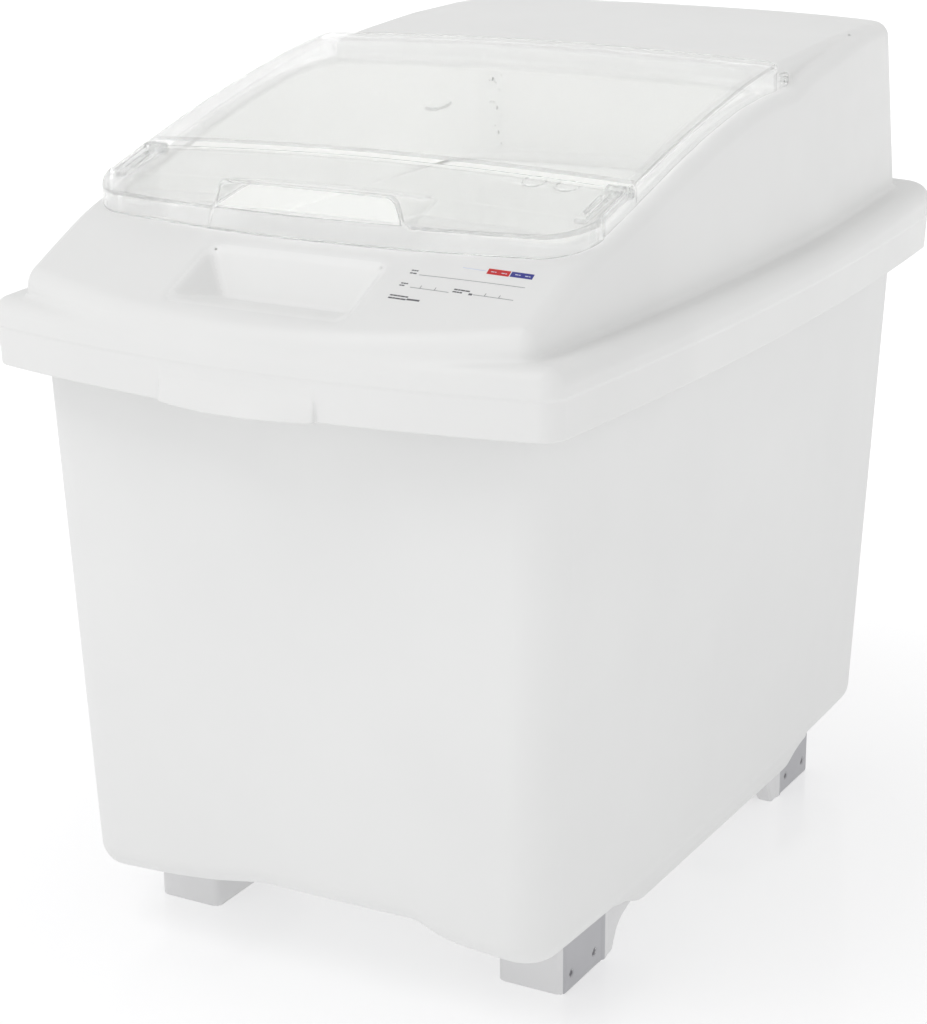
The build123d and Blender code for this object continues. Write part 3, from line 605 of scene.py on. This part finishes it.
def flap_F(x, y, z):
    T, Pn, P = lid_T(x, y, z), pan_T(x, y, z), cover_plan(x, y)
    ax = np.abs(x)
    A = np.minimum(ax - 162.6, y + 189.1)
    # grip: a hump that falls back to the panel, open in front above the front skirt
    side = (ax - 58.5 - (484.4 - z) * 0.31) / 1.047
    top = z - 484.4 - 1.0 * (1 - (x / 58.5) ** 2)
    back = (top + 0.42 * (y + 214.0)) / 1.085
    G = rmax(rmax(side, rmax(top, back, 9.0), 5.0), P, 3.0)
    S = rmin(rmax(P, Pn, 1.0), G, 3.0)
    f = rmax(S, -(S + 2.4), 0.6)
    f = rmax(f, -np.maximum(-189.1 - y, Pn + 2.5), 0.6)
    f = rmax(f, np.maximum(-(T + 12.5), np.maximum(A, y + 147.6)), 0.9)
    band = rmax(rmax(rmax(P, -(P + CL), 0.8), T, 1.3), -(T + 12.5), 0.8)
    f = rmin(f, rmax(band, y + 189.1, 0.8), 1.2)
    f = rmax(f, -rmax(rmax(side + 2.4, rmax(top, back, 9.0) + 2.4, 3.5), np.maximum(-T, y + 218.0), 0.5), 0.6)
    # side fins, ribs with a slot, hinge bosses
    fin = np.maximum(np.maximum(160.4 - ax, ax - 162.6), np.maximum(-200.0 - y, y + 151.0))
    fin = rmax(rmax(fin, T + 0.6, 0.8), -(Pn + 1.5), 0.5)
    rib = rmax(np.maximum(150.0 - ax, ax - 157.5), np.maximum(-196.5 - y, y + 151.0), 3.0)
    rib = rmax(rmax(rib, T + 0.4, 1.2), -(Pn + 1.5), 0.5)
    slot = np.maximum(rmax(np.maximum(152.2 - ax, ax - 155.6), np.maximum(-188.0 - y, y + 166.0), 1.5), -(Pn + 0.4))
    rib = rmax(rib, -slot, 0.3)
    boss = rmax(np.hypot(y - AXF, z - AZF) - 4.0, np.maximum(150.0 - ax, ax - 162.6), 0.4)
    f = rmin(f, np.minimum(np.minimum(fin, rib), boss), 0.8)
    # two plain rings raised on the panel
    for cx, cy in ((104.6, -155.4), (125.8, -155.4)):
        q = np.abs(np.hypot(x - cx, y - cy) - 6.8) - 0.45
        f = rmin(f, np.maximum(rmax(q, Pn - 0.45, 0.2), -Pn - 1.2), 0.2)
    return rmax(f, -np.maximum(np.hypot(y - AXF, z - AZF) - 2.5, 149.0 - ax), 0.2)


flp = piece("front_flap_sheet", "front_flap", "flap", flap_F,
      mirror_steps((0, 50, 2.5), (50, 70, 0.9), (70, 98, 2.5), (98, 134, 0.8), (134, 146, 2.4), (146, 168, 0.8)), steps((-236, -145, 0.9)),
      steps((-16, -8.2, 0.6), (-8.2, 21, 0.85)), M_FLAP_SHADE, shear=(lid_z, lid_d))

win.visible_shadow = False
flp.visible_shadow = False

# =====================================================================
# print on the slope: plain fields, bars and scales
# =====================================================================
def films(name, node, quads, material, rise=0.16):
    """Thin films that follow the slope: each a quad of (x, y) corners, closed all round."""
    V, Fc = [], []
    for q in quads:
        q = np.array(q, float)
        n = max(2, int(np.hypot(*(q[1] - q[0])) / 1.5))
        base = len(V)
        for k in range(n + 1):
            t = k / n
            a, b = q[0] + (q[1] - q[0]) * t, q[3] + (q[2] - q[3]) * t
            for px, py in (a, b):
                for h in (rise, -0.1):
                    V.append((px, py, float(ledge_z(py) + hood_crown(px)) + h))
        for k in range(n):
            o = base + 4 * k
            a0, a1, b0, b1 = o, o + 1, o + 2, o + 3
            c0, c1, d0, d1 = o + 4, o + 5, o + 6, o + 7
            Fc += [(a0, b0, d0, c0), (a1, c1, d1, b1), (a0, c0, c1, a1), (b0, b1, d1, d0)]
        Fc += [(base, base + 1, base + 3, base + 2), (base + 4 * n, base + 4 * n + 2, base + 4 * n + 3, base + 4 * n + 1)]
    ob = mesh_from(name, np.array(V, float), np.array(Fc)[:, ::-1], None, material)
    ob.data.polygons.foreach_set("use_smooth", np.zeros(len(ob.data.polygons), bool))
    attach(ob, "hood_body"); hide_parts(node)
    return ob


def bar(x0, x1, y, h, skew=0.0, rise=0.0):
    """Bar from x0 to x1, h tall, its lower edge at y; rise lifts its far end."""
    return [(x0, y), (x1, y + rise), (x1 + skew, y + rise + h), (x0 + skew, y + h)]


films("slope_print_red", "slope_label_red", [bar(118.3, 131.6, -236.6, 4.4, -0.5, 0.3)], M_RED)
films("slope_print_blue", "slope_label_blue", [bar(132.2, 145.5, -236.0, 4.1, -0.4, 0.4)], M_BLUE)
hair = [bar(81.4, 145.2, -245.3, 0.22, 0, 2.4), bar(81.8, 105.4, -255.9, 0.22, 0, 0.3), bar(119.9, 143.8, -254.5, 0.22, 0, 0.7)]
fine = []
for x0, y0 in ((87.5, -255.8), (96.4, -255.7), (126.4, -254.3), (134.9, -254.1)):
    hair.append(bar(x0, x0 + 0.3, y0, 2.4))
dashes = lambda x0, x1, y, h, cuts: [bar(a, b, y, h) for a, b in zip([x0] + [c + 0.35 for c in cuts], list(cuts) + [x1])]
fine += dashes(75.2, 79.2, -242.6, 0.75, (76.4, 77.9)) + dashes(75.3, 79.3, -244.9, 0.75, (76.9,))
fine += dashes(74.8, 79.0, -253.7, 0.75, (76.1, 77.7)) + dashes(74.7, 77.7, -255.5, 0.7, (76.0,))
fine += dashes(107.3, 116.8, -252.8, 0.85, (109.4, 111.0, 113.9)) + dashes(107.3, 113.0, -254.7, 0.8, (109.6, 111.2))
fine += dashes(73.8, 85.0, -264.1, 0.85, (75.6, 78.2, 80.1, 83.0)) + dashes(73.9, 84.6, -266.3, 0.9, (76.3, 78.0, 81.2))
fine += [bar(85.2, 92.9, -266.0, 1.1, 0, 0.2), bar(117.2, 119.3, -255.1, 1.3)]
films("slope_print_lines", "slope_label_lines", fine, M_BLACK)
films("slope_print_scales", "slope_label_lines", hair, M_GREY)
lightq = [bar(102.7, 116.9, -234.7, 0.35)]
for x0 in (120.2, 126.6):
    lightq += [bar(x0, x0 + 1.9, -234.8, 0.6), bar(x0 + 2.3, x0 + 3.2, -234.8, 0.6)]
for x0 in (134.6, 140.6):
    lightq += [bar(x0, x0 + 1.9, -234.2, 0.6), bar(x0 + 2.3, x0 + 3.2, -234.2, 0.6)]
films("slope_print_light", "slope_label_blue", lightq, M_PALE, rise=0.2)

# =====================================================================
# stage
# =====================================================================
w = bpy.data.worlds.new("world"); scene.world = w; w.use_nodes = True
wt = w.node_tree
sep = wt.nodes.new("ShaderNodeSeparateXYZ")
wt.links.new(wt.nodes.new("ShaderNodeTexCoord").outputs["Generated"], sep.inputs[0])
wr = wt.nodes.new("ShaderNodeValToRGB")
wt.links.new(sep.outputs["Z"], wr.inputs["Fac"])
e = wr.color_ramp.elements
e[0].position, e[0].color = 0.0, (1.08, 1.08, 1.08, 1)
e[1].position, e[1].color = 1.0, (0.62, 0.62, 0.62, 1)
k = e.new(0.35); k.color = (0.95, 0.95, 0.95, 1)
wt.links.new(wr.outputs["Color"], wt.nodes["Background"].inputs[0])
wt.nodes["Background"].inputs[1].default_value = 0.925
me = bpy.data.meshes.new("floor")
me.from_pydata([(-8, -8, 0), (8, -8, 0), (8, 8, 0), (-8, 8, 0)], [], [(0, 1, 2, 3)])
floor = bpy.data.objects.new("floor", me); scene.collection.objects.link(floor)
fm, nt, b = new_mat("floor_acrylic")
b.inputs["Base Color"].default_value = (0.52, 0.52, 0.525, 1)
b.inputs["Roughness"].default_value = 0.12
b.inputs["IOR"].default_value = 1.45
b.inputs["Emission Color"].default_value = (1, 1, 1, 1)
# floor emission is lower near the middle: painted shadow of the bin on the floor
floor_shadow_dist = nt.nodes.new("ShaderNodeVectorMath"); floor_shadow_dist.operation = "LENGTH"
nt.links.new(coords(nt), floor_shadow_dist.inputs[0])
nt.links.new(rng(nt, floor_shadow_dist.outputs["Value"], 0.48, 0.60, 0.28, 0.78), b.inputs["Emission Strength"])
me.materials.append(fm)


def area(name, loc, target, size, power, spread=180):
    ld = bpy.data.lights.new(name, "AREA")
    ld.shape = "SQUARE"; ld.size = size; ld.energy = power; ld.spread = math.radians(spread)
    lo = bpy.data.objects.new(name, ld); scene.collection.objects.link(lo)
    d = Vector(target) - Vector(loc)
    lo.location = loc
    lo.rotation_euler = d.to_track_quat("-Z", "Y").to_euler()
    return lo


area("key", (-1.0, -1.8, 3.4), (0, 0, 0.3), 2.0, 32.0)
scene.view_settings.view_transform = "Standard"
